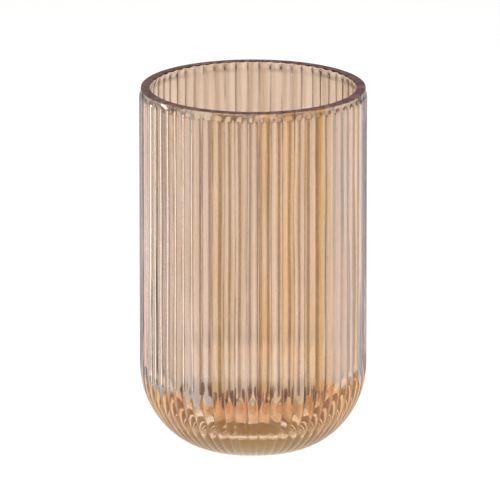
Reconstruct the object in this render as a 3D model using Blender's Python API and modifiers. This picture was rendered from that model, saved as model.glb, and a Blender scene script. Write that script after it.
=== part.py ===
"""Hand blown ribbed vase, in metres, standing on the origin with its axis along +Z.

The glass is worked hot in three stages, and each is a solid of its own here: a heavy heel of
amber glass, an upright wall blown into a ribbed mould, and a thin thread of dark glass wrapped
round the lip. On the real vase they are fused, so only a hairline gap parts them.
"""

import math

import bpy

# Overall sizes
VASE_HEIGHT = 0.200
VASE_DIAMETER = 0.123  # over the crests of the ribs
WALL_THICKNESS = 0.0045  # from the inside of the wall to the crests

# Ribs: convex reeds side by side, each an arc of a circle in section
RIB_COUNT = 60
RIB_DEPTH = 0.0008  # from a crest to the groove beside it
RIB_ROUNDING = 0.0045  # the length over which the top of a reed is rounded off
RIB_MARGIN = 0.0007  # plain wall between the reeds' rounded tops and the lip
RIB_RUNOUT = 0.010  # the width of the band round the foot where the reeds die away

# Heel
HEEL_HEIGHT = 0.045  # from the foot to where the wall is upright
HEEL_FULLNESS = 1.91  # 2 is an ellipse, and less is a flatter curve
REST_RADIUS = 0.0216  # the outer edge of the flat face that the vase stands on
REST_RING_WIDTH = 0.009
PUNTY_DEPTH = 0.0015  # the shallow hollow ground where the punty rod was broken off

# Cavity
FLOOR_THICKNESS = 0.018
FLOOR_RADIUS = 0.030  # the flat middle of the inside floor
BEND_HEIGHT = 0.054  # from the foot to where the inside is upright
CAVITY_FULLNESS = 2.0

# Lip wrap
LIP_WIDTH = 0.005
LIP_HEIGHT = 0.0012

SEAM_GAP = 0.0003  # between two solids that are fused on the real vase
OVERCUT = 0.010  # how far the cavity cutter runs past the mouth

# Smoothness of the solids
POINTS_PER_RIB = 4
HEEL_BANDS = 9
CAVITY_BANDS = 7
CAVITY_STEPS = 96
PUNTY_BANDS = 3
LIP_SECTION_POINTS = 12
LIP_STEPS = 96
ROUNDING_BANDS = 3
SHARP_ANGLE = math.radians(40)
WELD = 0.00001

RADIUS = VASE_DIAMETER / 2
CAVITY_RADIUS = RADIUS - WALL_THICKNESS
WALL_TOP = VASE_HEIGHT - LIP_HEIGHT - SEAM_GAP
WALL_BOTTOM = HEEL_HEIGHT + SEAM_GAP
RIB_TOP = WALL_TOP - RIB_MARGIN

# Colours of the glass, as linear RGB
AMBER = (0.80, 0.42, 0.16, 1.0)
PEACH = (0.86, 0.64, 0.46, 1.0)
SMOKE = (0.10, 0.045, 0.05, 1.0)


def clear_scene():
    for obj in list(bpy.data.objects):
        bpy.data.objects.remove(obj, do_unlink=True)


def new_collection(name):
    collection = bpy.data.collections.new(name)
    bpy.context.scene.collection.children.link(collection)
    return collection


def glass(name, colour, roughness):
    """Clear glass of one colour, seen in the viewport in the same colour."""
    material = bpy.data.materials.new(name)
    material.use_nodes = True
    shader = material.node_tree.nodes["Principled BSDF"]
    shader.inputs["Base Color"].default_value = colour
    shader.inputs["Roughness"].default_value = roughness
    shader.inputs["Metallic"].default_value = 0.0
    shader.inputs["Transmission Weight"].default_value = 0.9
    shader.inputs["IOR"].default_value = 1.5
    material.diffuse_color = colour
    return material


def quarter_curve(inner, outer, low, high, fullness, bands):
    """Points (radius, height) on a quarter of a superellipse.

    It leaves (outer, high) straight down and arrives at (inner, low) level. fullness is the
    power in the superellipse's equation.
    """
    points = []
    for i in range(bands + 1):
        turn = math.pi / 2 * i / bands
        radius = inner + (outer - inner) * math.cos(turn) ** (2 / fullness)
        height = high - (high - low) * math.sin(turn) ** (2 / fullness)
        points.append((radius, height))
    return points


def turned(name, profile, steps, collection, closed=False):
    """An object made by turning a profile of (radius, height) points about Z.

    An open profile has both of its ends on the axis, and a closed one makes a ring.
    """
    mesh = bpy.data.meshes.new(name)
    edges = [(i, i + 1) for i in range(len(profile) - 1)]
    if closed:
        edges.append((len(profile) - 1, 0))
    mesh.from_pydata([(radius, 0.0, height) for radius, height in profile], edges, [])
    obj = bpy.data.objects.new(name, mesh)
    collection.objects.link(obj)
    screw = obj.modifiers.new("Turn", "SCREW")
    screw.axis = "Z"
    screw.steps = steps
    screw.render_steps = steps
    screw.use_merge_vertices = True
    screw.merge_threshold = WELD
    return obj


def made_mesh(obj):
    """The same object with its modifiers applied to its mesh."""
    bpy.context.view_layer.update()
    evaluated = obj.evaluated_get(bpy.context.evaluated_depsgraph_get())
    mesh = bpy.data.meshes.new_from_object(evaluated)
    mesh.name = obj.name
    obj.modifiers.clear()
    obj.data = mesh
    return obj


def reed_drop(across):
    """How far a reed's surface lies below its crest, at a distance across from its middle.

    across runs from 0 at the crest to 1 in the groove, and the section is an arc of a circle.
    """
    half_pitch = math.pi * RADIUS / RIB_COUNT
    arc_radius = (half_pitch**2 + RIB_DEPTH**2) / (2 * RIB_DEPTH)
    return arc_radius - math.sqrt(arc_radius**2 - (half_pitch * min(across, 1.0)) ** 2)


def groove_distance(x, y):
    """0 on the nearest reed's crest and 1 in a groove, from the angle round the vase."""
    phase = math.atan2(y, x) * RIB_COUNT / (2 * math.pi)
    return 2 * abs(phase - round(phase))


def heel_normal(radius, height):
    """The outward normal of the heel's turned surface, as (radial part, height part)."""
    across = max(radius - REST_RADIUS, 0.0) / (RADIUS - REST_RADIUS)
    down = max(HEEL_HEIGHT - height, 0.0) / HEEL_HEIGHT
    radial = across ** (HEEL_FULLNESS - 1) / (RADIUS - REST_RADIUS)
    upright = -(down ** (HEEL_FULLNESS - 1)) / HEEL_HEIGHT
    length = math.hypot(radial, upright)
    return (radial / length, upright / length) if length > 0 else (0.0, 0.0)


def press_reeds(obj):
    """Press the reeds into a turned solid by moving its outer surface in along the normals."""
    for vertex in obj.data.vertices:
        x, y, z = vertex.co
        radius = math.hypot(x, y)
        if radius < REST_RADIUS + WELD:
            continue
        across = groove_distance(x, y)
        past_start = (z - (RIB_TOP - RIB_ROUNDING)) / RIB_ROUNDING
        drop = reed_drop(math.hypot(across, max(past_start, 0.0)))
        runout = min((radius - REST_RADIUS) / RIB_RUNOUT, 1.0)
        drop *= radius / RADIUS * runout
        radial, upright = heel_normal(radius, z)
        vertex.co = (
            x - drop * radial * x / radius,
            y - drop * radial * y / radius,
            z - drop * upright,
        )


def cut(obj, cutter):
    boolean = obj.modifiers.new("Cavity", "BOOLEAN")
    boolean.operation = "DIFFERENCE"
    boolean.solver = "EXACT"
    boolean.object = cutter


def finish(obj, material):
    obj.data.materials.clear()
    obj.data.materials.append(material)
    obj.data.shade_smooth()
    obj.data.set_sharp_from_angle(angle=SHARP_ANGLE)


def cavity_cutter(collection):
    """The inside of the vase as a turned solid, from the floor to above the mouth."""
    top = VASE_HEIGHT + OVERCUT
    bend = quarter_curve(
        FLOOR_RADIUS, CAVITY_RADIUS, FLOOR_THICKNESS, BEND_HEIGHT, CAVITY_FULLNESS, CAVITY_BANDS
    )
    profile = [(0.0, top), (CAVITY_RADIUS, top), *bend, (0.0, FLOOR_THICKNESS)]
    cutter = turned("cavity_cutter", profile, CAVITY_STEPS, collection)
    cutter.hide_render = True
    cutter.display_type = "WIRE"
    return cutter


def punty_dish():
    """Points (radius, height) on the ground hollow, from its rim to its middle, a parabola."""
    rim_radius = REST_RADIUS - REST_RING_WIDTH
    shares = [1 - i / PUNTY_BANDS for i in range(PUNTY_BANDS + 1)]
    return [(rim_radius * share, PUNTY_DEPTH * (1 - share**2)) for share in shares]


def heavy_heel(collection, cavity, material):
    """The thick rounded heel: a bowl with a flat ring to stand on and a hollow inside it."""
    curve = quarter_curve(REST_RADIUS, RADIUS, 0.0, HEEL_HEIGHT, HEEL_FULLNESS, HEEL_BANDS)
    profile = [(0.0, HEEL_HEIGHT), *curve, *punty_dish()]
    heel = made_mesh(turned("heavy_heel", profile, RIB_COUNT * POINTS_PER_RIB, collection))
    press_reeds(heel)
    cut(heel, cavity)
    finish(heel, material)


def ribbed_wall(collection, cavity, material):
    """The upright wall: reeds outside, smooth inside, open at both ends."""
    start = RIB_TOP - RIB_ROUNDING
    profile = [(0.0, WALL_TOP), (RADIUS, WALL_TOP)]
    for i in range(ROUNDING_BANDS + 1):
        # Bands get closer together towards the tip, where the rounding is steepest.
        rise = math.sin(math.pi / 2 * (1 - i / ROUNDING_BANDS))
        profile.append((RADIUS, start + rise * RIB_ROUNDING))
    profile += [(RADIUS, WALL_BOTTOM), (0.0, WALL_BOTTOM)]
    wall = made_mesh(turned("ribbed_wall", profile, RIB_COUNT * POINTS_PER_RIB, collection))
    press_reeds(wall)
    cut(wall, cavity)
    finish(wall, material)


def lip_wrap(collection, material):
    """A thread of dark glass laid round the mouth, an ellipse in section."""
    centre_radius = RADIUS - RIB_DEPTH - LIP_WIDTH / 2
    centre_height = VASE_HEIGHT - LIP_HEIGHT / 2
    section = []
    for i in range(LIP_SECTION_POINTS):
        turn = -2 * math.pi * i / LIP_SECTION_POINTS
        radius = centre_radius + LIP_WIDTH / 2 * math.cos(turn)
        height = centre_height + LIP_HEIGHT / 2 * math.sin(turn)
        section.append((radius, height))
    lip = made_mesh(turned("lip_wrap", section, LIP_STEPS, collection, closed=True))
    finish(lip, material)


def main():
    clear_scene()
    parts = new_collection("ribbed_vase")
    cutters = new_collection("cutters")
    cavity = cavity_cutter(cutters)
    heavy_heel(parts, cavity, glass("amber_glass", AMBER, 0.03))
    ribbed_wall(parts, cavity, glass("peach_glass", PEACH, 0.03))
    lip_wrap(parts, glass("smoke_glass", SMOKE, 0.05))


main()
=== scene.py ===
# %% [markdown]
# # A hand blown ribbed vase
# This lesson makes the finished look of one glass vase round a frame that is already built: a
# heavy amber heel, an upright wall of sixty fine reeds, and a thin dark lip. The frame gives the
# sizes and places. Here the glass gets a fine surface, its small hand made faults, its colour
# and its light.

import math

import bpy
import numpy as np
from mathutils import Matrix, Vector


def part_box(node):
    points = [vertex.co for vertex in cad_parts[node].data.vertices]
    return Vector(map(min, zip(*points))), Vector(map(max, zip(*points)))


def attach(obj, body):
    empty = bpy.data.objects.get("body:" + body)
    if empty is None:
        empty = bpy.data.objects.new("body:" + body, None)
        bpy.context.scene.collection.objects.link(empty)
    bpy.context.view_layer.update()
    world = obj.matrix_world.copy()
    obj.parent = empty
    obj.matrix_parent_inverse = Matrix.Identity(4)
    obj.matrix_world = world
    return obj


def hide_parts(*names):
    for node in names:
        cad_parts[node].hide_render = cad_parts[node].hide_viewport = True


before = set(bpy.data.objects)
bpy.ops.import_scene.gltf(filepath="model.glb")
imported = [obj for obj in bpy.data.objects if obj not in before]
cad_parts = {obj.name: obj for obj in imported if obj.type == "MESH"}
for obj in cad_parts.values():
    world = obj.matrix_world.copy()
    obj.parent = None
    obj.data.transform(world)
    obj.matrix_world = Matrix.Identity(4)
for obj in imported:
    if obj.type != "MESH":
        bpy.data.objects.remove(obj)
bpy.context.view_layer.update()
_, heel_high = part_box("heavy_heel")
_, wall_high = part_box("ribbed_wall")
_, lip_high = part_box("lip_wrap")

# %% [markdown]
# ## Sizes
# The outside of the glass has to stay in the frame's box, so its radius and heights are read
# from the frame. What a box can't say, such as the depth of a reed, is named here in metres,
# the same as in the solid model.

# %% Sizes
RADIUS = wall_high.x  # over the crests of the reeds
HEEL_HEIGHT = heel_high.z
LIP_TOP = lip_high.z
LIP_RADIUS = lip_high.x

WALL = 0.0045  # from the inside of the wall to the crests
INSIDE_RADIUS = RADIUS - WALL
REEDS = 60
REED_DEPTH = 0.0008
REED_MARGIN = 0.0005  # plain wall between the reeds' rounded tops and the lip
REED_TOP = wall_high.z - REED_MARGIN
REED_ROUNDING = 0.0045  # the length over which the top of a reed is rounded off
REED_RUNOUT = 0.010  # the width of the band round the foot where the reeds die away
REED_START = REED_TOP - REED_ROUNDING

HEEL_FULLNESS = 1.91  # 2 is an ellipse, and less is a flatter curve
REST_RADIUS = 0.0216  # the outer edge of the ring that the vase stands on
PUNTY_RADIUS = 0.0126  # its inner edge
PUNTY_DEPTH = 0.0015

FLOOR_THICKNESS = 0.018
FLOOR_RADIUS = 0.030
BEND_TOP = 0.054  # where the inside is upright
BEND_FULLNESS = 2

LIP_WIDTH = 0.005
LIP_SKIN = 0.0003  # how thick the dark glass is on top of the lip
SEAM = 0.00002  # between the skin and the glass under it
GLASS_TOP = LIP_TOP - LIP_SKIN - SEAM
LIP_BEAD = 0.0013  # how far the top of the wall swells into the mouth
LIP_BEAD_HEIGHT = 0.006
LIP_CORNER = 0.0006  # the radius that the fire polishing leaves

# How finely the surface is divided
OUTER_PER_REED = 16
INNER_PER_REED = 8
RING_ROWS = 4
HEEL_ROWS = 32
WALL_ROWS = 24
BEAD_ROWS = 8
INSIDE_ROWS = 20
BEND_ROWS = 22
FLOOR_ROWS = 5
FLOOR_MIDDLE = 0.002  # the radius of the last ring of points before the pole
print("reeds are", round(1000 * math.tau * RADIUS / REEDS, 2), "mm apart")

# %% [markdown]
# ## Small faults of the hand
# Mould blown glass is never quite even. Each groove wanders by up to a few tenths of a millimetre,
# one reed is a little wider than the next, and the wall is a little thicker here than there. Those
# faults are what makes light break up in the reeds, so they are worth making in the mesh. A few
# slow waves, each with its own random direction and start, add up to a fault that never repeats.


# %% Waves
def slow_waves(seed, count, most_round, longest, shortest):
    """A function of (angle, height) with values of about -1 to 1.

    It is the sum of waves cos(m * angle + 2 pi * height / length + start), with whole numbers m
    up to most_round, so that it closes on itself round the vase, over the square root of half
    their count.
    """
    random = np.random.default_rng(seed)
    rounds = random.integers(-most_round, most_round + 1, count)
    lengths = random.uniform(shortest, longest, count)
    starts = random.uniform(0, math.tau, count)

    def waves(angle, height):
        turns = angle[..., None] * rounds + math.tau * height[..., None] / lengths + starts
        return np.cos(turns).sum(-1) / math.sqrt(count / 2)

    return waves


wall_waves = slow_waves(seed=3, count=9, most_round=14, longest=0.30, shortest=0.06)
lip_waves = slow_waves(seed=5, count=6, most_round=5, longest=0.5, shortest=0.3)
print("wall waves at four heights:", wall_waves(np.zeros(4), np.linspace(0.05, 0.18, 4)).round(2))

# %% [markdown]
# ## The profile
# The glass is one closed surface, as the real vase is: the maker gathers clear and amber glass on
# one pipe, and no seam is left between heel and wall. The profile starts at the middle of the
# foot, runs out along the ring that the vase stands on, up round the heel and the wall, over the
# top, and down inside to the middle of the floor. The heel outside is a quarter of a
# superellipse, a little flatter than an ellipse. Inside, a bigger quarter of an ellipse starts
# higher up, so the bottom is thick and its edge is thicker still.


# %% Profile
def quarter_curve(inner, outer, low, high, fullness, count):
    """Points on a quarter superellipse from (inner, low) up to (outer, high).

    The radius is inner + (outer - inner) * cos(turn) ** (2 / fullness), and the height is
    high - (high - low) * sin(turn) ** (2 / fullness), for turns from a right angle to 0.
    """
    turn = np.linspace(math.pi / 2, 0, count)
    radius = inner + (outer - inner) * np.abs(np.cos(turn)) ** (2 / fullness)
    height = high - (high - low) * np.sin(turn) ** (2 / fullness)
    return np.stack([radius, height], -1)


def corner(centre_radius, centre_height, first_turn, last_turn, count=5):
    """Points on an arc of the lip's corner radius, from one turn above level to another."""
    turn = np.linspace(first_turn, last_turn, count)
    radius = centre_radius + LIP_CORNER * np.cos(turn)
    height = centre_height + LIP_CORNER * np.sin(turn)
    return np.stack([radius, height], -1)


def punty_dish(count=6, first_share=0.12):
    """Points on the ground hollow under the foot, a parabola, from near its middle to its rim."""
    share = np.linspace(first_share, 1, count)
    return np.stack([share * PUNTY_RADIUS, PUNTY_DEPTH * (1 - share**2)], -1)


def reed_ends(count=9):
    """Points up the rounded tops of the reeds, closer together towards the tips."""
    rise = np.sin(np.linspace(0, math.pi / 2, count))[1:]
    return np.stack([np.full(count - 1, RADIUS), REED_START + rise * REED_ROUNDING], -1)


corner_height = GLASS_TOP - LIP_CORNER
outer_profile = np.concatenate(
    [
        punty_dish(),
        np.linspace((PUNTY_RADIUS, 0), (REST_RADIUS, 0), RING_ROWS)[1:-1],
        quarter_curve(REST_RADIUS, RADIUS, 0, HEEL_HEIGHT, HEEL_FULLNESS, HEEL_ROWS),
        np.linspace((RADIUS, HEEL_HEIGHT), (RADIUS, REED_START), WALL_ROWS)[1:],
        reed_ends(),
        corner(RADIUS - LIP_CORNER, corner_height, 0, math.pi / 2),
    ]
)
mouth_radius = INSIDE_RADIUS - LIP_BEAD
bead_turn = np.linspace(0, math.pi, BEAD_ROWS)[1:]
bead = np.stack(
    [
        INSIDE_RADIUS - LIP_BEAD * (1 + np.cos(bead_turn)) / 2,
        corner_height - LIP_BEAD_HEIGHT * bead_turn / math.pi,
    ],
    -1,
)
bend = quarter_curve(
    FLOOR_RADIUS, INSIDE_RADIUS, FLOOR_THICKNESS, BEND_TOP, BEND_FULLNESS, BEND_ROWS
)
floor_ends = (FLOOR_RADIUS, FLOOR_THICKNESS), (FLOOR_MIDDLE, FLOOR_THICKNESS)
inner_profile = np.concatenate(
    [
        corner(mouth_radius + LIP_CORNER, corner_height, math.pi / 2, math.pi),
        bead,
        np.linspace((INSIDE_RADIUS, bead[-1, 1]), (INSIDE_RADIUS, BEND_TOP), INSIDE_ROWS)[1:],
        bend[-2::-1],
        np.linspace(*floor_ends, FLOOR_ROWS)[1:],
    ]
)
print("profile points:", len(outer_profile), "outside,", len(inner_profile), "inside")

# %% [markdown]
# ## The reeds
# Across its width a reed is an arc of a circle, so its surface drops from the crest by the square of
# the distance to the middle, near enough. The columns of points are laid out reed by reed from one
# groove to the next: if a groove wanders, all the columns beside it wander with it, and the sharp
# line of the groove always falls on a column.


# %% Reeds
GROOVE_FAULT = 0.035  # how far a groove is out of place, as a share of the reeds' pitch
GROOVE_SWING = 0.045  # how far it wanders at most, as a share of the pitch
SWING_LENGTHS = (0.08, 0.22)  # the least and the most height of one swing
SHALLOWEST = 0.88  # the least depth of a reed, as a share of the full depth


def reed_columns(per_reed, heights, seed=11):
    """The angle of each column at each height, and how far across its reed it lies, -1 to 1.

    A groove's angle is (k + 1/2) pitch, plus a fixed fault of its own, plus a slow wave with
    height. Between two grooves the angle goes evenly from one to the other.
    """
    random = np.random.default_rng(seed)
    pitch = math.tau / REEDS
    fault = random.normal(0, GROOVE_FAULT * pitch, REEDS)
    swing = random.uniform(0.0, GROOVE_SWING * pitch, REEDS)
    length = random.uniform(*SWING_LENGTHS, REEDS)
    start = random.uniform(0, math.tau, REEDS)
    wander = swing * np.sin(math.tau * heights[:, None] / length + start)
    groove = (np.arange(REEDS) + 0.5) * pitch + fault + wander
    before = np.roll(groove, 1, axis=1)
    before[:, 0] -= math.tau
    share = np.arange(per_reed) / per_reed
    angle = before[..., None] + (groove - before)[..., None] * share
    across = np.broadcast_to(2 * share - 1, angle.shape)
    return angle.reshape(len(heights), -1), across.reshape(len(heights), -1)


def reed_drop(across, heights, seed=12):
    """How deep the surface lies under the crest, in metres: depth * across squared.

    Past the start of its rounded top a reed narrows to a fingertip, because the distance past
    the start counts as distance across. Each reed has a depth of its own.
    """
    random = np.random.default_rng(seed)
    depth = REED_DEPTH * random.uniform(SHALLOWEST, 1.0, REEDS)
    depth = np.repeat(depth, across.shape[1] // REEDS)
    past = np.clip((heights - REED_START) / REED_ROUNDING, 0, None)[:, None]
    reach = np.clip(across**2 + past**2, 0, 1)
    top = np.clip(past, 0, 1)
    return reach * (depth * (1 - top) + REED_DEPTH * top)


def profile_normals(profile):
    """The outward normal at each profile point: its direction turned a quarter clockwise."""
    along = np.gradient(profile, axis=0)
    along /= np.linalg.norm(along, axis=1, keepdims=True)
    return np.stack([along[:, 1], -along[:, 0]], -1)


def profile_lengths(profile):
    """The distance along a profile from its first point to each point."""
    steps = np.linalg.norm(np.diff(profile, axis=0), axis=1)
    return np.concatenate([[0], np.cumsum(steps)])


def around(angle, radius, height):
    """Points at an angle, a distance from the axis and a height."""
    return np.stack([radius * np.cos(angle), radius * np.sin(angle), height], -1)


outer_angle, outer_across = reed_columns(OUTER_PER_REED, outer_profile[:, 1])
normal = profile_normals(outer_profile)
# Above the heel the reeds are pressed in level, so that the top edge doesn't sink with them.
normal[outer_profile[:, 1] > HEEL_HEIGHT] = (1, 0)
runout = np.clip((outer_profile[:, 0] - REST_RADIUS) / REED_RUNOUT, 0, 1)
shrink = outer_profile[:, 0] / RADIUS * runout
drop = reed_drop(outer_across, outer_profile[:, 1]) * shrink[:, None]
outer_radius = outer_profile[:, :1] - drop * normal[:, :1]
outer_height = outer_profile[:, 1:] - drop * normal[:, 1:]
outer_points = around(outer_angle, outer_radius, outer_height)

ECHO = 0.00007  # how far the reeds can still be felt inside
UNEVEN = 0.00022  # how far the wall's thickness strays
EVEN_TOP = 0.006  # the depth of the mouth over which the unevenness fades out
inner_angle, inner_across = reed_columns(INNER_PER_REED, inner_profile[:, 1])
inner_height = np.broadcast_to(inner_profile[:, 1:], inner_angle.shape)
upright = np.clip((inner_profile[:, :1] - FLOOR_RADIUS) / (INSIDE_RADIUS - FLOOR_RADIUS), 0, 1)
near_top = np.clip((GLASS_TOP - inner_profile[:, 1:]) / EVEN_TOP, 0, 1)
fault = ECHO * np.cos(math.pi * inner_across) + UNEVEN * wall_waves(inner_angle, inner_height)
inner_radius = inner_profile[:, :1] - fault * upright * near_top
inner_points = around(inner_angle, inner_radius, inner_height)
print("deepest groove:", round(1000 * drop.max(), 2), "mm")

# %% [markdown]
# ## The mesh of the glass
# Rows of points follow the profile and columns go round. Outside there are sixteen columns to a
# reed, and inside eight are enough, because there is only a faint echo of the reeds there. One ring
# of mixed triangles and quads joins the two counts at the top, and a fan of triangles closes each
# pole, so the glass is watertight. That matters more for glass than for anything else: light
# keeps count of when it goes in and when it comes out.


# %% The glass
def ring_quads(first, columns, rows):
    """Quads between rows of a grid that closes on itself, with its first point at index first."""
    row = np.arange(rows - 1)[:, None] * columns
    column = np.arange(columns)[None, :]
    after = (column + 1) % columns
    corners = [row + column, row + after, row + columns + after, row + columns + column]
    return (first + np.stack(corners, -1).reshape(-1, 4)).tolist()


def fan(pole, ring, columns, upwards):
    """Triangles from a pole to the ring whose first point has index ring."""
    column = np.arange(columns)
    after = (column + 1) % columns
    sides = [ring + column, ring + after] if upwards else [ring + after, ring + column]
    return np.stack([np.full_like(column, pole), *sides], -1).tolist()


def joining_ring(many_first, many, few_first, few):
    """Faces between a ring of many points and one of half as many, a triangle and a quad each."""
    column = np.arange(few)
    after = (column + 1) % few
    step = many // few
    middle = many_first + step * column + 1
    next_many = many_first + step * after
    triangles = np.stack([middle - 1, middle, few_first + column], -1)
    quads = np.stack([middle, next_many, few_first + after, few_first + column], -1)
    return triangles.tolist() + quads.tolist()


def new_piece(name, points, faces):
    """A smooth shaded object at the origin with these points and faces."""
    mesh = bpy.data.meshes.new(name)
    mesh.from_pydata(points.tolist(), [], faces)
    mesh.shade_smooth()
    mesh.validate()
    piece = bpy.data.objects.new(name, mesh)
    bpy.context.scene.collection.objects.link(piece)
    return piece


outer_rows, outer_columns = outer_angle.shape
inner_rows, inner_columns = inner_angle.shape
foot_pole = [(0, 0, PUNTY_DEPTH)]
floor_pole = [(0, 0, FLOOR_THICKNESS)]
parts = [foot_pole, outer_points.reshape(-1, 3), inner_points.reshape(-1, 3), floor_pole]
points = np.concatenate(parts)
inner_first = 1 + outer_rows * outer_columns
last = len(points) - 1
faces = (
    fan(0, 1, outer_columns, upwards=False)
    + ring_quads(1, outer_columns, outer_rows)
    + joining_ring(inner_first - outer_columns, outer_columns, inner_first, inner_columns)
    + ring_quads(inner_first, inner_columns, inner_rows)
    + fan(last, last - inner_columns, inner_columns, upwards=True)
)
glass = new_piece("blown_glass", points, faces)
print("blown_glass:", len(points), "points,", sum(len(f) - 2 for f in faces), "triangles")

# %% [markdown]
# ## What the glass knows about itself
# The material needs to know where a point lies on its reed, and which way the glass was drawn.
# These are stored on the mesh as attributes. `drawn` is a position on the glass as it was before
# it was bent inwards: an upright tube, as long as the profile. Streaks laid out in it run
# straight down the wall and then follow the reeds in under the heel, getting finer as they go,
# just as the real ones do.


# %% Attributes
def give(piece, name, values):
    """Store a number or a vector for each point of a piece's mesh, for its material to read."""
    values = np.ascontiguousarray(values, np.float32)
    if values.ndim == 1:
        piece.data.attributes.new(name, "FLOAT", "POINT").data.foreach_set("value", values)
    else:
        store = piece.data.attributes.new(name, "FLOAT_VECTOR", "POINT")
        store.data.foreach_set("vector", values.ravel())


def poles_and_rows(foot, outer, inner, floor):
    """Values for all points: a foot pole, the rows outside, the rows inside and a floor pole."""
    outer_list = outer.reshape(-1, *np.shape(foot))
    inner_list = inner.reshape(-1, *np.shape(floor))
    return np.concatenate([[foot], outer_list, inner_list, [floor]])


def tube(angle, lengths):
    """Positions on an upright tube, at the angles of the columns and the rows' lengths."""
    along = np.broadcast_to(lengths[:, None], angle.shape)
    return around(angle, np.full(angle.shape, RADIUS), along)


foot_length = profile_lengths(outer_profile)
floor_length = profile_lengths(inner_profile)[::-1]
# painted shade: one side of each reed is darker than the other, as if the reeds were lit from one
# side
outer_side_shade = np.sin(math.pi * outer_across)
tones = np.random.default_rng(21).uniform(0, 1, REEDS)
outer_tone = np.tile(np.repeat(tones, OUTER_PER_REED), (outer_rows, 1))
inner_zeros = np.zeros(inner_angle.shape)
give(glass, "outside", poles_and_rows(1, np.ones(outer_angle.shape), inner_zeros, 0))
give(glass, "groove", poles_and_rows(0, np.abs(outer_across), inner_zeros, 0))
give(glass, "side", poles_and_rows(0, outer_side_shade, inner_zeros, 0))
give(glass, "tone", poles_and_rows(0.5, outer_tone, inner_zeros + 0.5, 0.5))
give(
    glass,
    "drawn",
    poles_and_rows(
        (0, 0, 0), tube(outer_angle, foot_length), tube(inner_angle, floor_length), (0, 0, 0)
    ),
)

# The colour isn't even round the vase. It goes from pale on the left to rich on the right across
# the front half, the gold is thickest in one band, and the two flanks differ from the front and
# the back.
RICH_MIDDLE = 0.5
RICH_CHANGE = 0.65
GOLD_SIDE = math.radians(-70)
GOLD_WIDTH = math.radians(19)
in_front = (1 - np.sin(outer_angle)) / 2
outer_rich = RICH_MIDDLE + RICH_CHANGE * np.cos(outer_angle) * in_front
from_gold = (outer_angle - GOLD_SIDE + math.pi) % math.tau - math.pi
outer_gold = np.exp(-((from_gold / GOLD_WIDTH) ** 2))
# flank is 1 at the left and right sides; the lavender laid on it in the material is a painted
# reflection
outer_flank = np.cos(outer_angle) ** 2
give(glass, "rich", poles_and_rows(0.5, outer_rich, inner_zeros, 0))
give(glass, "gold", poles_and_rows(0, outer_gold, inner_zeros, 0))
give(glass, "flank", poles_and_rows(0.5, outer_flank, inner_zeros, 0))
print("attributes:", [a.name for a in glass.data.attributes if not a.name.startswith(".")])

# %% [markdown]
# ## The lip
# The cut edge of the wall is dressed with a skin of dark, purple brown glass and fire polished,
# which pulls it round and makes it wander by a tenth of a millimetre or so. Only a skin is made
# here, because the clear wall carries on right up to it: from the side you look through the lip,
# and only its top is dark. In section it is a flat ellipse.

# %% The lip
SECTION_POINTS = 28
LIP_COLUMNS = 480
LIP_WANDER = 0.03  # as a share of the lip's half width
lip_turn = np.linspace(0, math.tau, LIP_COLUMNS, endpoint=False)
section_turn = -np.linspace(0, math.tau, SECTION_POINTS, endpoint=False)[:, None]
half_width = LIP_WIDTH / 2 * (1 - LIP_WANDER * (1 + lip_waves(lip_turn, np.zeros(LIP_COLUMNS))))
lip_radius = LIP_RADIUS - LIP_WIDTH / 2 + half_width * np.cos(section_turn)
lip_height = LIP_TOP - LIP_SKIN / 2 * (1 - np.sin(section_turn))
lip_angle = np.broadcast_to(lip_turn, lip_radius.shape)
lip_points = around(lip_angle, lip_radius, np.broadcast_to(lip_height, lip_radius.shape))
lip_faces = np.array(ring_quads(0, LIP_COLUMNS, SECTION_POINTS + 1)) % lip_angle.size
lip = new_piece("lip_skin", lip_points.reshape(-1, 3), lip_faces[:, ::-1].tolist())
section_length = np.broadcast_to(LIP_WIDTH * np.cos(section_turn), lip_angle.shape)
give(lip, "drawn", around(lip_angle, np.full(lip_angle.shape, RADIUS), section_length).reshape(-1, 3))
print("lip_skin:", len(lip_faces), "quads")

# %% [markdown]
# ## Helpers for materials
# A material is a sum of small steps, so each step gets a helper that adds one node and returns
# its output. The streaks are used by both kinds of glass, so they are a node group of their own.


# %% Helpers for materials
def new_material(name):
    """A material with a Principled shader: the material, its node tree and the shader."""
    material = bpy.data.materials.new(name)
    material.use_nodes = True
    return material, material.node_tree, material.node_tree.nodes["Principled BSDF"]


def fill(tree, socket, value):
    """Put a number or a colour into a socket, or link another node's output to it."""
    if isinstance(value, bpy.types.NodeSocket):
        tree.links.new(value, socket)
    else:
        socket.default_value = value


def formula(tree, operation, *values, clamp=False):
    """The output of a Math node on up to three values."""
    node = tree.nodes.new("ShaderNodeMath")
    node.operation = operation
    node.use_clamp = clamp
    for socket, value in zip(node.inputs, values):
        fill(tree, socket, value)
    return node.outputs[0]


def total(tree, *values, clamp=False):
    """The sum of some values. clamp keeps it from 0 to 1."""
    result = values[0]
    for value in values[1:]:
        result = formula(tree, "ADD", result, value)
    return formula(tree, "ADD", result, 0.0, clamp=clamp)


def product(tree, *values):
    """Some values multiplied together."""
    result = values[0]
    for value in values[1:]:
        result = formula(tree, "MULTIPLY", result, value)
    return result


def about_zero(tree, value, strength):
    """A value of 0 to 1 made into one of plus or minus half of the strength."""
    return formula(tree, "MULTIPLY_ADD", value, strength, -strength / 2)


def ramp(tree, value, low, high):
    """0 where the value is at low, 1 where it is at high, and a smooth step between."""
    node = tree.nodes.new("ShaderNodeMapRange")
    node.interpolation_type = "SMOOTHSTEP"
    fill(tree, node.inputs["Value"], value)
    fill(tree, node.inputs["From Min"], low)
    fill(tree, node.inputs["From Max"], high)
    return node.outputs["Result"]


def between(tree, share, first, second):
    """The colour that is first where the share is 0 and second where it is 1."""
    node = tree.nodes.new("ShaderNodeMix")
    node.data_type = "RGBA"
    share_socket, first_socket, second_socket = (node.inputs[i] for i in (0, 6, 7))
    fill(tree, share_socket, share)
    fill(tree, first_socket, first)
    fill(tree, second_socket, second)
    return node.outputs[2]


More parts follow.
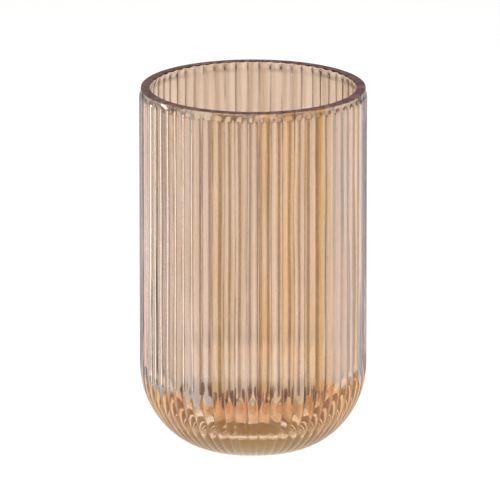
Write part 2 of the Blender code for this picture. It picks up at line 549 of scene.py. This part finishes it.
def times(tree, first, second):
    """Two colours multiplied, as light is that passes through both."""
    node = tree.nodes.new("ShaderNodeMix")
    node.data_type = "RGBA"
    node.blend_type = "MULTIPLY"
    share_socket, first_socket, second_socket = (node.inputs[i] for i in (0, 6, 7))
    fill(tree, share_socket, 1.0)
    fill(tree, first_socket, first)
    fill(tree, second_socket, second)
    return node.outputs[2]


def number_between(tree, share, first, second):
    """The number that is first where the share is 0 and second where it is 1."""
    rise = formula(tree, "SUBTRACT", second, first)
    return formula(tree, "MULTIPLY_ADD", rise, share, first)


def attribute(tree, name):
    """The value of one of the mesh's own attributes."""
    node = tree.nodes.new("ShaderNodeAttribute")
    node.attribute_name = name
    return node.outputs["Fac"]


def own_place(tree):
    """The point's X and Z in the object's own coordinates: across the vase, and its height."""
    place = tree.nodes.new("ShaderNodeTexCoord")
    parts = tree.nodes.new("ShaderNodeSeparateXYZ")
    tree.links.new(place.outputs["Object"], parts.inputs[0])
    return parts.outputs["X"], parts.outputs["Z"]


def streaks_group():
    """A node group for streaks drawn out along the glass, about 0.5.

    It is noise in the coordinates that the mesh stores as drawn. Its inputs are the counts of
    noise cells in a metre, across the streaks and along them.
    """
    group = bpy.data.node_groups.new("drawn_streaks", "ShaderNodeTree")
    for name in ("Across", "Along"):
        group.interface.new_socket(name, in_out="INPUT", socket_type="NodeSocketFloat")
    group.interface.new_socket("Streaks", in_out="OUTPUT", socket_type="NodeSocketFloat")
    entry = group.nodes.new("NodeGroupInput")
    leave = group.nodes.new("NodeGroupOutput")
    drawn = group.nodes.new("ShaderNodeAttribute")
    drawn.attribute_name = "drawn"
    cells = group.nodes.new("ShaderNodeCombineXYZ")
    group.links.new(entry.outputs["Across"], cells.inputs["X"])
    group.links.new(entry.outputs["Across"], cells.inputs["Y"])
    group.links.new(entry.outputs["Along"], cells.inputs["Z"])
    scaled = group.nodes.new("ShaderNodeVectorMath")
    scaled.operation = "MULTIPLY"
    group.links.new(drawn.outputs["Vector"], scaled.inputs[0])
    group.links.new(cells.outputs["Vector"], scaled.inputs[1])
    noise = group.nodes.new("ShaderNodeTexNoise")
    noise.inputs["Scale"].default_value = 1.0
    group.links.new(scaled.outputs["Vector"], noise.inputs["Vector"])
    group.links.new(noise.outputs["Fac"], leave.inputs["Streaks"])
    return group


drawn_streaks = streaks_group()


def streaks(tree, across, along):
    """Streaks about 0.5, with so many cells in a metre across them and along them."""
    node = tree.nodes.new("ShaderNodeGroup")
    node.node_tree = drawn_streaks
    node.inputs["Across"].default_value = across
    node.inputs["Along"].default_value = along
    return node.outputs["Streaks"]


print("node group:", drawn_streaks.name, len(drawn_streaks.nodes), "nodes")

# %% [markdown]
# ## The glass of the wall and the heel
# The body of the vase is clear peach glass. Its colour is a thin layer in the outer skin, so it
# belongs to the surface: light takes it up where it goes in and again where it comes out. It is
# uneven in many ways, and each is a step below. One side of a reed is painted deeper than the
# other: painted shade, as if the reeds were lit from one side. Streaks run the length of the
# glass, and every reed has a tone of its own. The right side of the front is richer than the
# left, a band right of the middle has gold streaks, and the left flank is painted lavender, a
# painted reflection. Brown lines of painted shade darken the grooves.
#
# The lower part was gathered again from amber glass. Where the two meet, the edge of the amber
# jumps up and down from streak to streak, and dark points hang down in the grooves. The floor
# inside is tinted as well, because the pale table shows through it.
#
# Over it all lies a lustre, a film of metal oxide about a ten thousandth of a millimetre thick.
# Up to 75 nanometres it reflects a faint pink and lavender, over 80 it reflects gold, and on the
# heel 105 to 115 nanometres give orange.

# %% Colours of the peach glass
CLEAR = (1, 1, 1, 1)
PALE = (0.71, 0.50, 0.38, 1)
DEEP = (0.385, 0.22, 0.14, 1)
RICH = (0.86, 0.74, 0.61, 1)
GOLD = (0.70, 0.33, 0.13, 1)
# painted reflection: the lavender sheen laid on the flanks, mostly the left
EDGE_SHEEN_LAVENDER = (0.85, 0.57, 0.53, 1)
HEEL_PALE = (0.99, 0.79, 0.62, 1)
HEEL_DEEP = (0.78, 0.36, 0.15, 1)
# painted shade: the brown lines in the grooves
GROOVE_SHADE_COLOUR = (0.085, 0.045, 0.03, 1)
# painted shade: the dark points below the amber's edge
SHADE_POINTS_COLOUR = (0.07, 0.032, 0.018, 1)
INSIDE_COLOUR = (0.92, 0.85, 0.76, 1)
INSIDE_FLOOR = (0.40, 0.28, 0.20, 1)

# Noise cells in a metre, across the streaks and along them
STREAKS = (290, 17)
FINE_STREAKS = (950, 28)
GOLD_STREAKS = (330, 9)
STROKES = (520, 24)

material, tree, shader = new_material("peach_glass")
groove = attribute(tree, "groove")
tone = attribute(tree, "tone")
rich = attribute(tree, "rich")
gold = attribute(tree, "gold")
flank = attribute(tree, "flank")
outside = attribute(tree, "outside")
sideways, height = own_place(tree)
streak = streaks(tree, *STREAKS)
fine_streak = streaks(tree, *FINE_STREAKS)
print(material.name, "starts with", len(tree.nodes), "nodes")

# %% [markdown]
# ### The wall
# `shade` says how deep the colour is, from 0 for pale to 1 for deep. It adds up the painted shade
# on one side of each reed, the streaks and the reed's own tone, each by its own strength. Gold and
# the lavender of the painted edge reflection are laid over it.

# %% The wall's colour
PAINTED_SIDE_SHADE = 0.34
MIDDLE_SHADE = 0.5
STREAK_SHADE = 1.6
FINE_SHADE = 1.1
TONE_SHADE = 0.45
GOLD_STREAK_EDGES = (0.44, 0.62)
GOLD_STRENGTH = 0.8
FLANK_EDGES = (0.84, 0.97)
EDGE_SHEEN_STRENGTH = 0.9  # less by as much as the side is rich

# its first term is painted shade: one side of each reed darker, as if the reeds were lit from one
# side
shade = total(
    tree,
    formula(tree, "MULTIPLY_ADD", attribute(tree, "side"), PAINTED_SIDE_SHADE, MIDDLE_SHADE),
    about_zero(tree, streak, STREAK_SHADE),
    about_zero(tree, fine_streak, FINE_SHADE),
    about_zero(tree, tone, TONE_SHADE),
    clamp=True,
)
rich_tint = between(tree, rich, CLEAR, RICH)
wall_colour = times(tree, between(tree, shade, PALE, DEEP), rich_tint)
gold_streak = ramp(tree, streaks(tree, *GOLD_STREAKS), *GOLD_STREAK_EDGES)
gold_share = product(tree, gold, gold_streak, GOLD_STRENGTH)
wall_colour = between(tree, gold_share, wall_colour, GOLD)
# painted reflection: lavender laid on the flanks, mostly the left, for the sheen at the vase's edges
on_flank = ramp(tree, flank, *FLANK_EDGES)
painted_edge_sheen_share = product(tree, on_flank, formula(tree, "SUBTRACT", EDGE_SHEEN_STRENGTH, rich))
wall_colour = between(tree, painted_edge_sheen_share, wall_colour, EDGE_SHEEN_LAVENDER)
print("with the wall's colour:", len(tree.nodes), "nodes")

# %% [markdown]
# ### The amber heel
# It has the wall's shades, but paler at the foot and deeper on the flanks. The top of the amber is
# higher where the streaks are deep and in the grooves, and it rises a little to the right, as
# the amber was gathered askew.

# %% The heel's colour
HEEL_SHADE = -0.4
HEEL_TOP_SHADE = 0.4
HEEL_TOP_HEIGHTS = (0.022, 0.038)
HEEL_FLANK_SHADE = 0.85
AMBER_TOP = 0.0415
AMBER_BY_STREAK = 0.018
AMBER_BY_TONE = 0.005
AMBER_BY_GROOVE = 0.006
AMBER_SLOPE = 0.045  # metres up for each metre to the right
AMBER_EDGE = 0.0012  # half the height over which it goes from amber to peach

heel_shade = total(
    tree,
    shade,
    HEEL_SHADE,
    product(tree, ramp(tree, height, *HEEL_TOP_HEIGHTS), HEEL_TOP_SHADE),
    product(tree, flank, HEEL_FLANK_SHADE),
    clamp=True,
)
heel_colour = between(tree, heel_shade, HEEL_PALE, HEEL_DEEP)
amber_top = total(
    tree,
    AMBER_TOP,
    about_zero(tree, streak, AMBER_BY_STREAK),
    about_zero(tree, tone, AMBER_BY_TONE),
    about_zero(tree, groove, AMBER_BY_GROOVE),
    product(tree, sideways, AMBER_SLOPE),
)
above_amber = formula(tree, "SUBTRACT", height, amber_top)
in_heel = ramp(tree, above_amber, AMBER_EDGE, -AMBER_EDGE)
colour = between(tree, in_heel, wall_colour, heel_colour)
print("with the heel's colour:", len(tree.nodes), "nodes")

# %% [markdown]
# ### Points and lines of painted shade
# The points are painted shade, standing for the dark that shows through the thick heel. They hang
# down in the grooves where the amber begins. At the top they take up the whole width between two
# reeds' crests, and lower down less and less of it, until they run out to nothing one centimetre
# lower. Some reeds have strong ones, and the flanks have none.
#
# Brown lines of painted shade darken the grooves above and below: faint ones all along, and dark
# strokes that come and go.

# %% Points and lines of painted shade, and the inside
POINT_BY_TONE = 0.008
POINT_TAPER = (0.034, 0.046)
POINT_SOFTNESS = (-0.05, 0.3)
POINT_FADE = (0.052, 0.044)
POINT_STREAK_EDGES = (0.3, 0.55)
POINT_FLANK_EDGES = (0.6, 0.2)
POINT_TONE_EDGES = (-0.4, 0.6)
STROKE_EDGES = (0.49, 0.60)
STROKE_ACROSS = (0.68, 0.97)
LINE_ACROSS = (0.72, 1.0)
LINE_STREAK_EDGES = (0.35, 0.75)
INSIDE_FLOOR_HEIGHTS = (0.026, 0.018)

# painted shade: dark points hanging down in the grooves where the amber begins
point_height = formula(tree, "ADD", height, about_zero(tree, tone, POINT_BY_TONE))
point_edge = formula(tree, "SUBTRACT", 1.0, ramp(tree, point_height, *POINT_TAPER))
in_shade_point = product(
    tree,
    ramp(tree, formula(tree, "SUBTRACT", groove, point_edge), *POINT_SOFTNESS),
    ramp(tree, point_height, *POINT_FADE),
    ramp(tree, fine_streak, *POINT_STREAK_EDGES),
    ramp(tree, flank, *POINT_FLANK_EDGES),
    ramp(tree, tone, *POINT_TONE_EDGES),
)
colour = between(tree, in_shade_point, colour, SHADE_POINTS_COLOUR)

# painted shade: brown lines darken the grooves
stroke = ramp(tree, streaks(tree, *STROKES), *STROKE_EDGES)
dark_groove_shade = product(tree, ramp(tree, groove, *STROKE_ACROSS), stroke)
faint_part = ramp(tree, fine_streak, *LINE_STREAK_EDGES)
faint_groove_shade = product(tree, ramp(tree, groove, *LINE_ACROSS), faint_part)
in_groove_shade = formula(tree, "MAXIMUM", dark_groove_shade, faint_groove_shade)
colour = between(tree, in_groove_shade, colour, GROOVE_SHADE_COLOUR)

on_floor = ramp(tree, height, *INSIDE_FLOOR_HEIGHTS)
inside_colour = between(tree, on_floor, INSIDE_COLOUR, INSIDE_FLOOR)
colour = between(tree, outside, inside_colour, colour)
fill(tree, shader.inputs["Base Color"], colour)
print("with points and lines:", len(tree.nodes), "nodes")

# %% [markdown]
# ### Lustre and body
# The film's thickness is in nanometres. It follows the reeds' tones and the streaks, so that its
# colour flickers from reed to reed, and it is missing from the points of painted shade and from
# the inside.
# The mass of the glass holds a trace of amber as well, which shows in the thick heel.

# %% Lustre and body
WALL_FILM = 65.0
FILM_BY_TONE = 24.0
TONE_POWER = 3.0  # only the highest tones count
FILM_BY_STREAK = 34.0
FILM_BY_GOLD = 10.0
FILM_BY_FLANK = -25.0
HEEL_FILM = 99.5
HEEL_FILM_BY_STREAK = 16.0
HEEL_FILM_BY_FLANK = 5.5
DARK_POINT = 0.4
FILM_IOR = 2.2
GLASS_IOR = 1.5
BODY_COLOUR = (0.97, 0.80, 0.66, 1)
BODY_DENSITY = 4

wall_film = total(
    tree,
    WALL_FILM,
    product(tree, formula(tree, "POWER", tone, TONE_POWER), FILM_BY_TONE),
    about_zero(tree, streak, FILM_BY_STREAK),
    product(tree, gold, FILM_BY_GOLD),
    product(tree, on_flank, FILM_BY_FLANK),
)
heel_film = total(
    tree,
    HEEL_FILM,
    product(tree, streak, HEEL_FILM_BY_STREAK),
    product(tree, flank, HEEL_FILM_BY_FLANK),
)
film = number_between(tree, in_heel, wall_film, heel_film)
in_dark_shade_point = formula(tree, "GREATER_THAN", in_shade_point, DARK_POINT)
film = product(tree, film, formula(tree, "SUBTRACT", outside, in_dark_shade_point))
fill(tree, shader.inputs["Thin Film Thickness"], film)
shader.inputs["Thin Film IOR"].default_value = FILM_IOR
shader.inputs["Roughness"].default_value = 0.0
shader.inputs["IOR"].default_value = GLASS_IOR
shader.inputs["Transmission Weight"].default_value = 1.0
body = tree.nodes.new("ShaderNodeVolumeAbsorption")
body.inputs["Color"].default_value = BODY_COLOUR
body.inputs["Density"].default_value = BODY_DENSITY
tree.links.new(body.outputs[0], tree.nodes["Material Output"].inputs["Volume"])
glass.data.materials.append(material)
glass.visible_shadow = False
print(material.name, "has", len(tree.nodes), "nodes")

# %% [markdown]
# ## The glass of the lip
# The dark glass holds so much manganese that little light gets through it. It is a touch milky,
# so a good part of the light is thrown back from just under its surface.

# %% Smoke glass
SMOKE = (0.15, 0.078, 0.085, 1)
SMOKE_PALE = (0.36, 0.21, 0.20, 1)
SMOKE_STREAKS = (300, 60)
SMOKE_STREAK_EDGES = (0.35, 0.75)
SMOKE_ROUGHNESS = 0.06
SMOKE_TRANSMISSION = 0.6

material, tree, shader = new_material("smoke_glass")
smoke_streak = ramp(tree, streaks(tree, *SMOKE_STREAKS), *SMOKE_STREAK_EDGES)
fill(tree, shader.inputs["Base Color"], between(tree, smoke_streak, SMOKE, SMOKE_PALE))
shader.inputs["Roughness"].default_value = SMOKE_ROUGHNESS
shader.inputs["IOR"].default_value = GLASS_IOR
shader.inputs["Transmission Weight"].default_value = SMOKE_TRANSMISSION
lip.data.materials.append(material)
lip.visible_shadow = False
print(material.name, "has", len(tree.nodes), "nodes")

# %% Onto the frame
for piece, slot, cad_names in (
    (glass, "peach_glass", ("ribbed_wall", "heavy_heel")),
    (lip, "smoke_glass", ("lip_wrap",)),
):
    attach(piece, "root")
    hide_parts(*cad_names)
print("replaced: ribbed_wall, heavy_heel, lip_wrap")

# %% [markdown]
# ## The table
# A plain, pale surface, wide enough to run out of sight. The vase casts no shadow on it: clear
# glass passes nearly all the light on to the table behind it, and a path tracer would need a
# very long time to find that light.

# %% The table
TABLE_RADIUS = 3.0
TABLE_POINTS = 96
TABLE_COLOUR = (0.9, 0.9, 0.9, 1)
TABLE_ROUGHNESS = 0.9
table_turn = np.linspace(0, math.tau, TABLE_POINTS, endpoint=False)
table_points = around(table_turn, np.full(TABLE_POINTS, TABLE_RADIUS), np.zeros(TABLE_POINTS))
floor = new_piece("floor", table_points, [list(range(TABLE_POINTS))])
material, tree, shader = new_material("pale_floor")
shader.inputs["Base Color"].default_value = TABLE_COLOUR
shader.inputs["Roughness"].default_value = TABLE_ROUGHNESS
floor.data.materials.append(material)
print("table:", 2 * TABLE_RADIUS, "m across")

# %% [markdown]
# ## Light
# Glass shows its surroundings more than itself. One large soft light above and two weak ones at
# the sides light the table, and the table is what you see through the wall. They are hidden from
# the glass, or each reed would hold a hard white spark. What each reed mirrors instead is a ring
# of tall upright strips, bright and dim by turns and no two of the same width, which give every
# reed its own stripes of light and dark. Two wider ones stand higher and farther off: they light
# the rounded tops of the reeds under the lip. None of them lights the table or shows through
# the glass.


# %% Light
def softbox(name, place, width, height, power):
    """A rectangular light that shines on the vase's foot and can't be seen itself."""
    light = bpy.data.lights.new(name, "AREA")
    light.shape = "RECTANGLE"
    light.size = width
    light.size_y = height
    light.energy = power
    lamp = bpy.data.objects.new(name, light)
    bpy.context.scene.collection.objects.link(lamp)
    lamp.location = place
    lamp.rotation_euler = (-Vector(place)).to_track_quat("-Z", "Y").to_euler()
    lamp.visible_camera = False
    lamp.visible_glossy = False
    lamp.visible_transmission = False


def reflector(name, middle, half, glow, colour, distance, bottom, top):
    """An upright glowing strip facing the vase's axis, seen in reflections only.

    middle is its angle round the vase and half is half of the angle that it covers. distance
    is from the axis, and bottom and top are heights.
    """
    ends = np.array([middle - half, middle + half])
    low_edge = around(ends, np.full(2, distance), np.full(2, bottom))
    high_edge = around(ends, np.full(2, distance), np.full(2, top))
    strip = new_piece(name, np.concatenate([low_edge, high_edge]), [[0, 1, 3, 2]])
    strip.visible_camera = False
    strip.visible_diffuse = False
    strip.visible_transmission = False
    strip.visible_shadow = False
    material, _, shader = new_material(name)
    shader.inputs["Base Color"].default_value = (0, 0, 0, 1)
    shader.inputs["Specular IOR Level"].default_value = 0
    shader.inputs["Emission Color"].default_value = colour
    shader.inputs["Emission Strength"].default_value = glow
    strip.data.materials.append(material)


SOFTBOXES = (  # name, place, width and height in metres, power in watts
    ("overhead", (0, 0.3, 2.2), 2.4, 2.4, 68),
    ("left", (-1.6, -0.2, 0.9), 0.8, 1.4, 7),
    ("right", (1.6, 0.1, 0.9), 0.8, 1.4, 5),
)
for settings in SOFTBOXES:
    softbox(*settings)

REFLECTORS = 13
RING = {"distance": 0.16, "bottom": 0.001, "top": 0.2}
HIGH = {"distance": 0.5, "bottom": 0.2, "top": 0.6}
ROSE = (1, 0.85, 0.81, 1)
WHITE = (1, 0.97, 0.94, 1)
BRIGHT = 1.2
DIM = 0.45
# The least and the most that a strip can draw, as shares of the even glow, spacing and width
GLOWS = (0.6, 1.4)
SHIFTS = (-0.2, 0.2)
WIDTHS = (0.35, 0.8)
studio = np.random.default_rng(31)
for k in range(REFLECTORS):
    glow = (DIM if k % 2 else BRIGHT) * studio.uniform(*GLOWS)
    middle = math.tau * (k + studio.uniform(*SHIFTS)) / REFLECTORS
    half = math.pi / REFLECTORS * studio.uniform(*WIDTHS)
    reflector(f"reflector_{k}", middle, half, glow, ROSE, **RING)

SINGLE_REFLECTORS = (  # name, middle and half of the angle in degrees, glow, colour, where
    ("key_reflector", 184, 4, 3.5, WHITE, RING),
    ("high_reflector_left", -130, 32, 1.3, WHITE, HIGH),
    ("high_reflector_right", -55, 28, 0.9, ROSE, HIGH),
)
for name, middle, half, glow, colour, where in SINGLE_REFLECTORS:
    reflector(name, math.radians(middle), math.radians(half), glow, colour, **where)

ROOM_LIGHT = 0.16
ROOM_COLOUR = (1, 0.92, 0.88, 1)
world = bpy.data.worlds.new("room")
world.use_nodes = True
background = world.node_tree.nodes["Background"]
background.inputs["Color"].default_value = ROOM_COLOUR
background.inputs["Strength"].default_value = ROOM_LIGHT
bpy.context.scene.world = world
bpy.context.scene.view_settings.view_transform = "Standard"
print("reflectors:", REFLECTORS + len(SINGLE_REFLECTORS))

# %% [markdown]
# ## The camera
# It looks down by 15 degrees from far away through a long lens, so upright lines stay upright and
# the round mouth is a flat, even ellipse. The vase fills three quarters of the height.

# %% The camera
ELEVATION = math.radians(14.97)
DISTANCE = 92.3 * RADIUS
FRAME_WIDTH = 4.3995 * RADIUS  # how much the picture shows at the vase's distance
SIDE_STEP = 0.0277 * RADIUS
DROP_STEP = 0.1359 * RADIUS
SENSOR = 36
FAR_CLIP = 100
camera = bpy.data.objects.new("camera", bpy.data.cameras.new("camera"))
bpy.context.scene.collection.objects.link(camera)
picture_down = Vector((0, math.sin(ELEVATION), math.cos(ELEVATION)))
backwards = Vector((0, -math.cos(ELEVATION), math.sin(ELEVATION)))
middle_of_vase = Vector((0, 0, LIP_TOP / 2))
aim = middle_of_vase - Vector((SIDE_STEP, 0, 0)) + picture_down * DROP_STEP
camera.location = aim + backwards * DISTANCE
camera.rotation_euler = (math.pi / 2 - ELEVATION, 0, 0)
camera.data.sensor_width = SENSOR
camera.data.lens = SENSOR * DISTANCE / FRAME_WIDTH
camera.data.clip_end = FAR_CLIP
bpy.context.scene.camera = camera
print("lens:", round(camera.data.lens), "mm")

# %% [markdown]
# ## Finish
# The view layer is brought up to date. The look must not stand out beyond the solid model
# anywhere.

# %% Finish
bpy.context.view_layer.update()
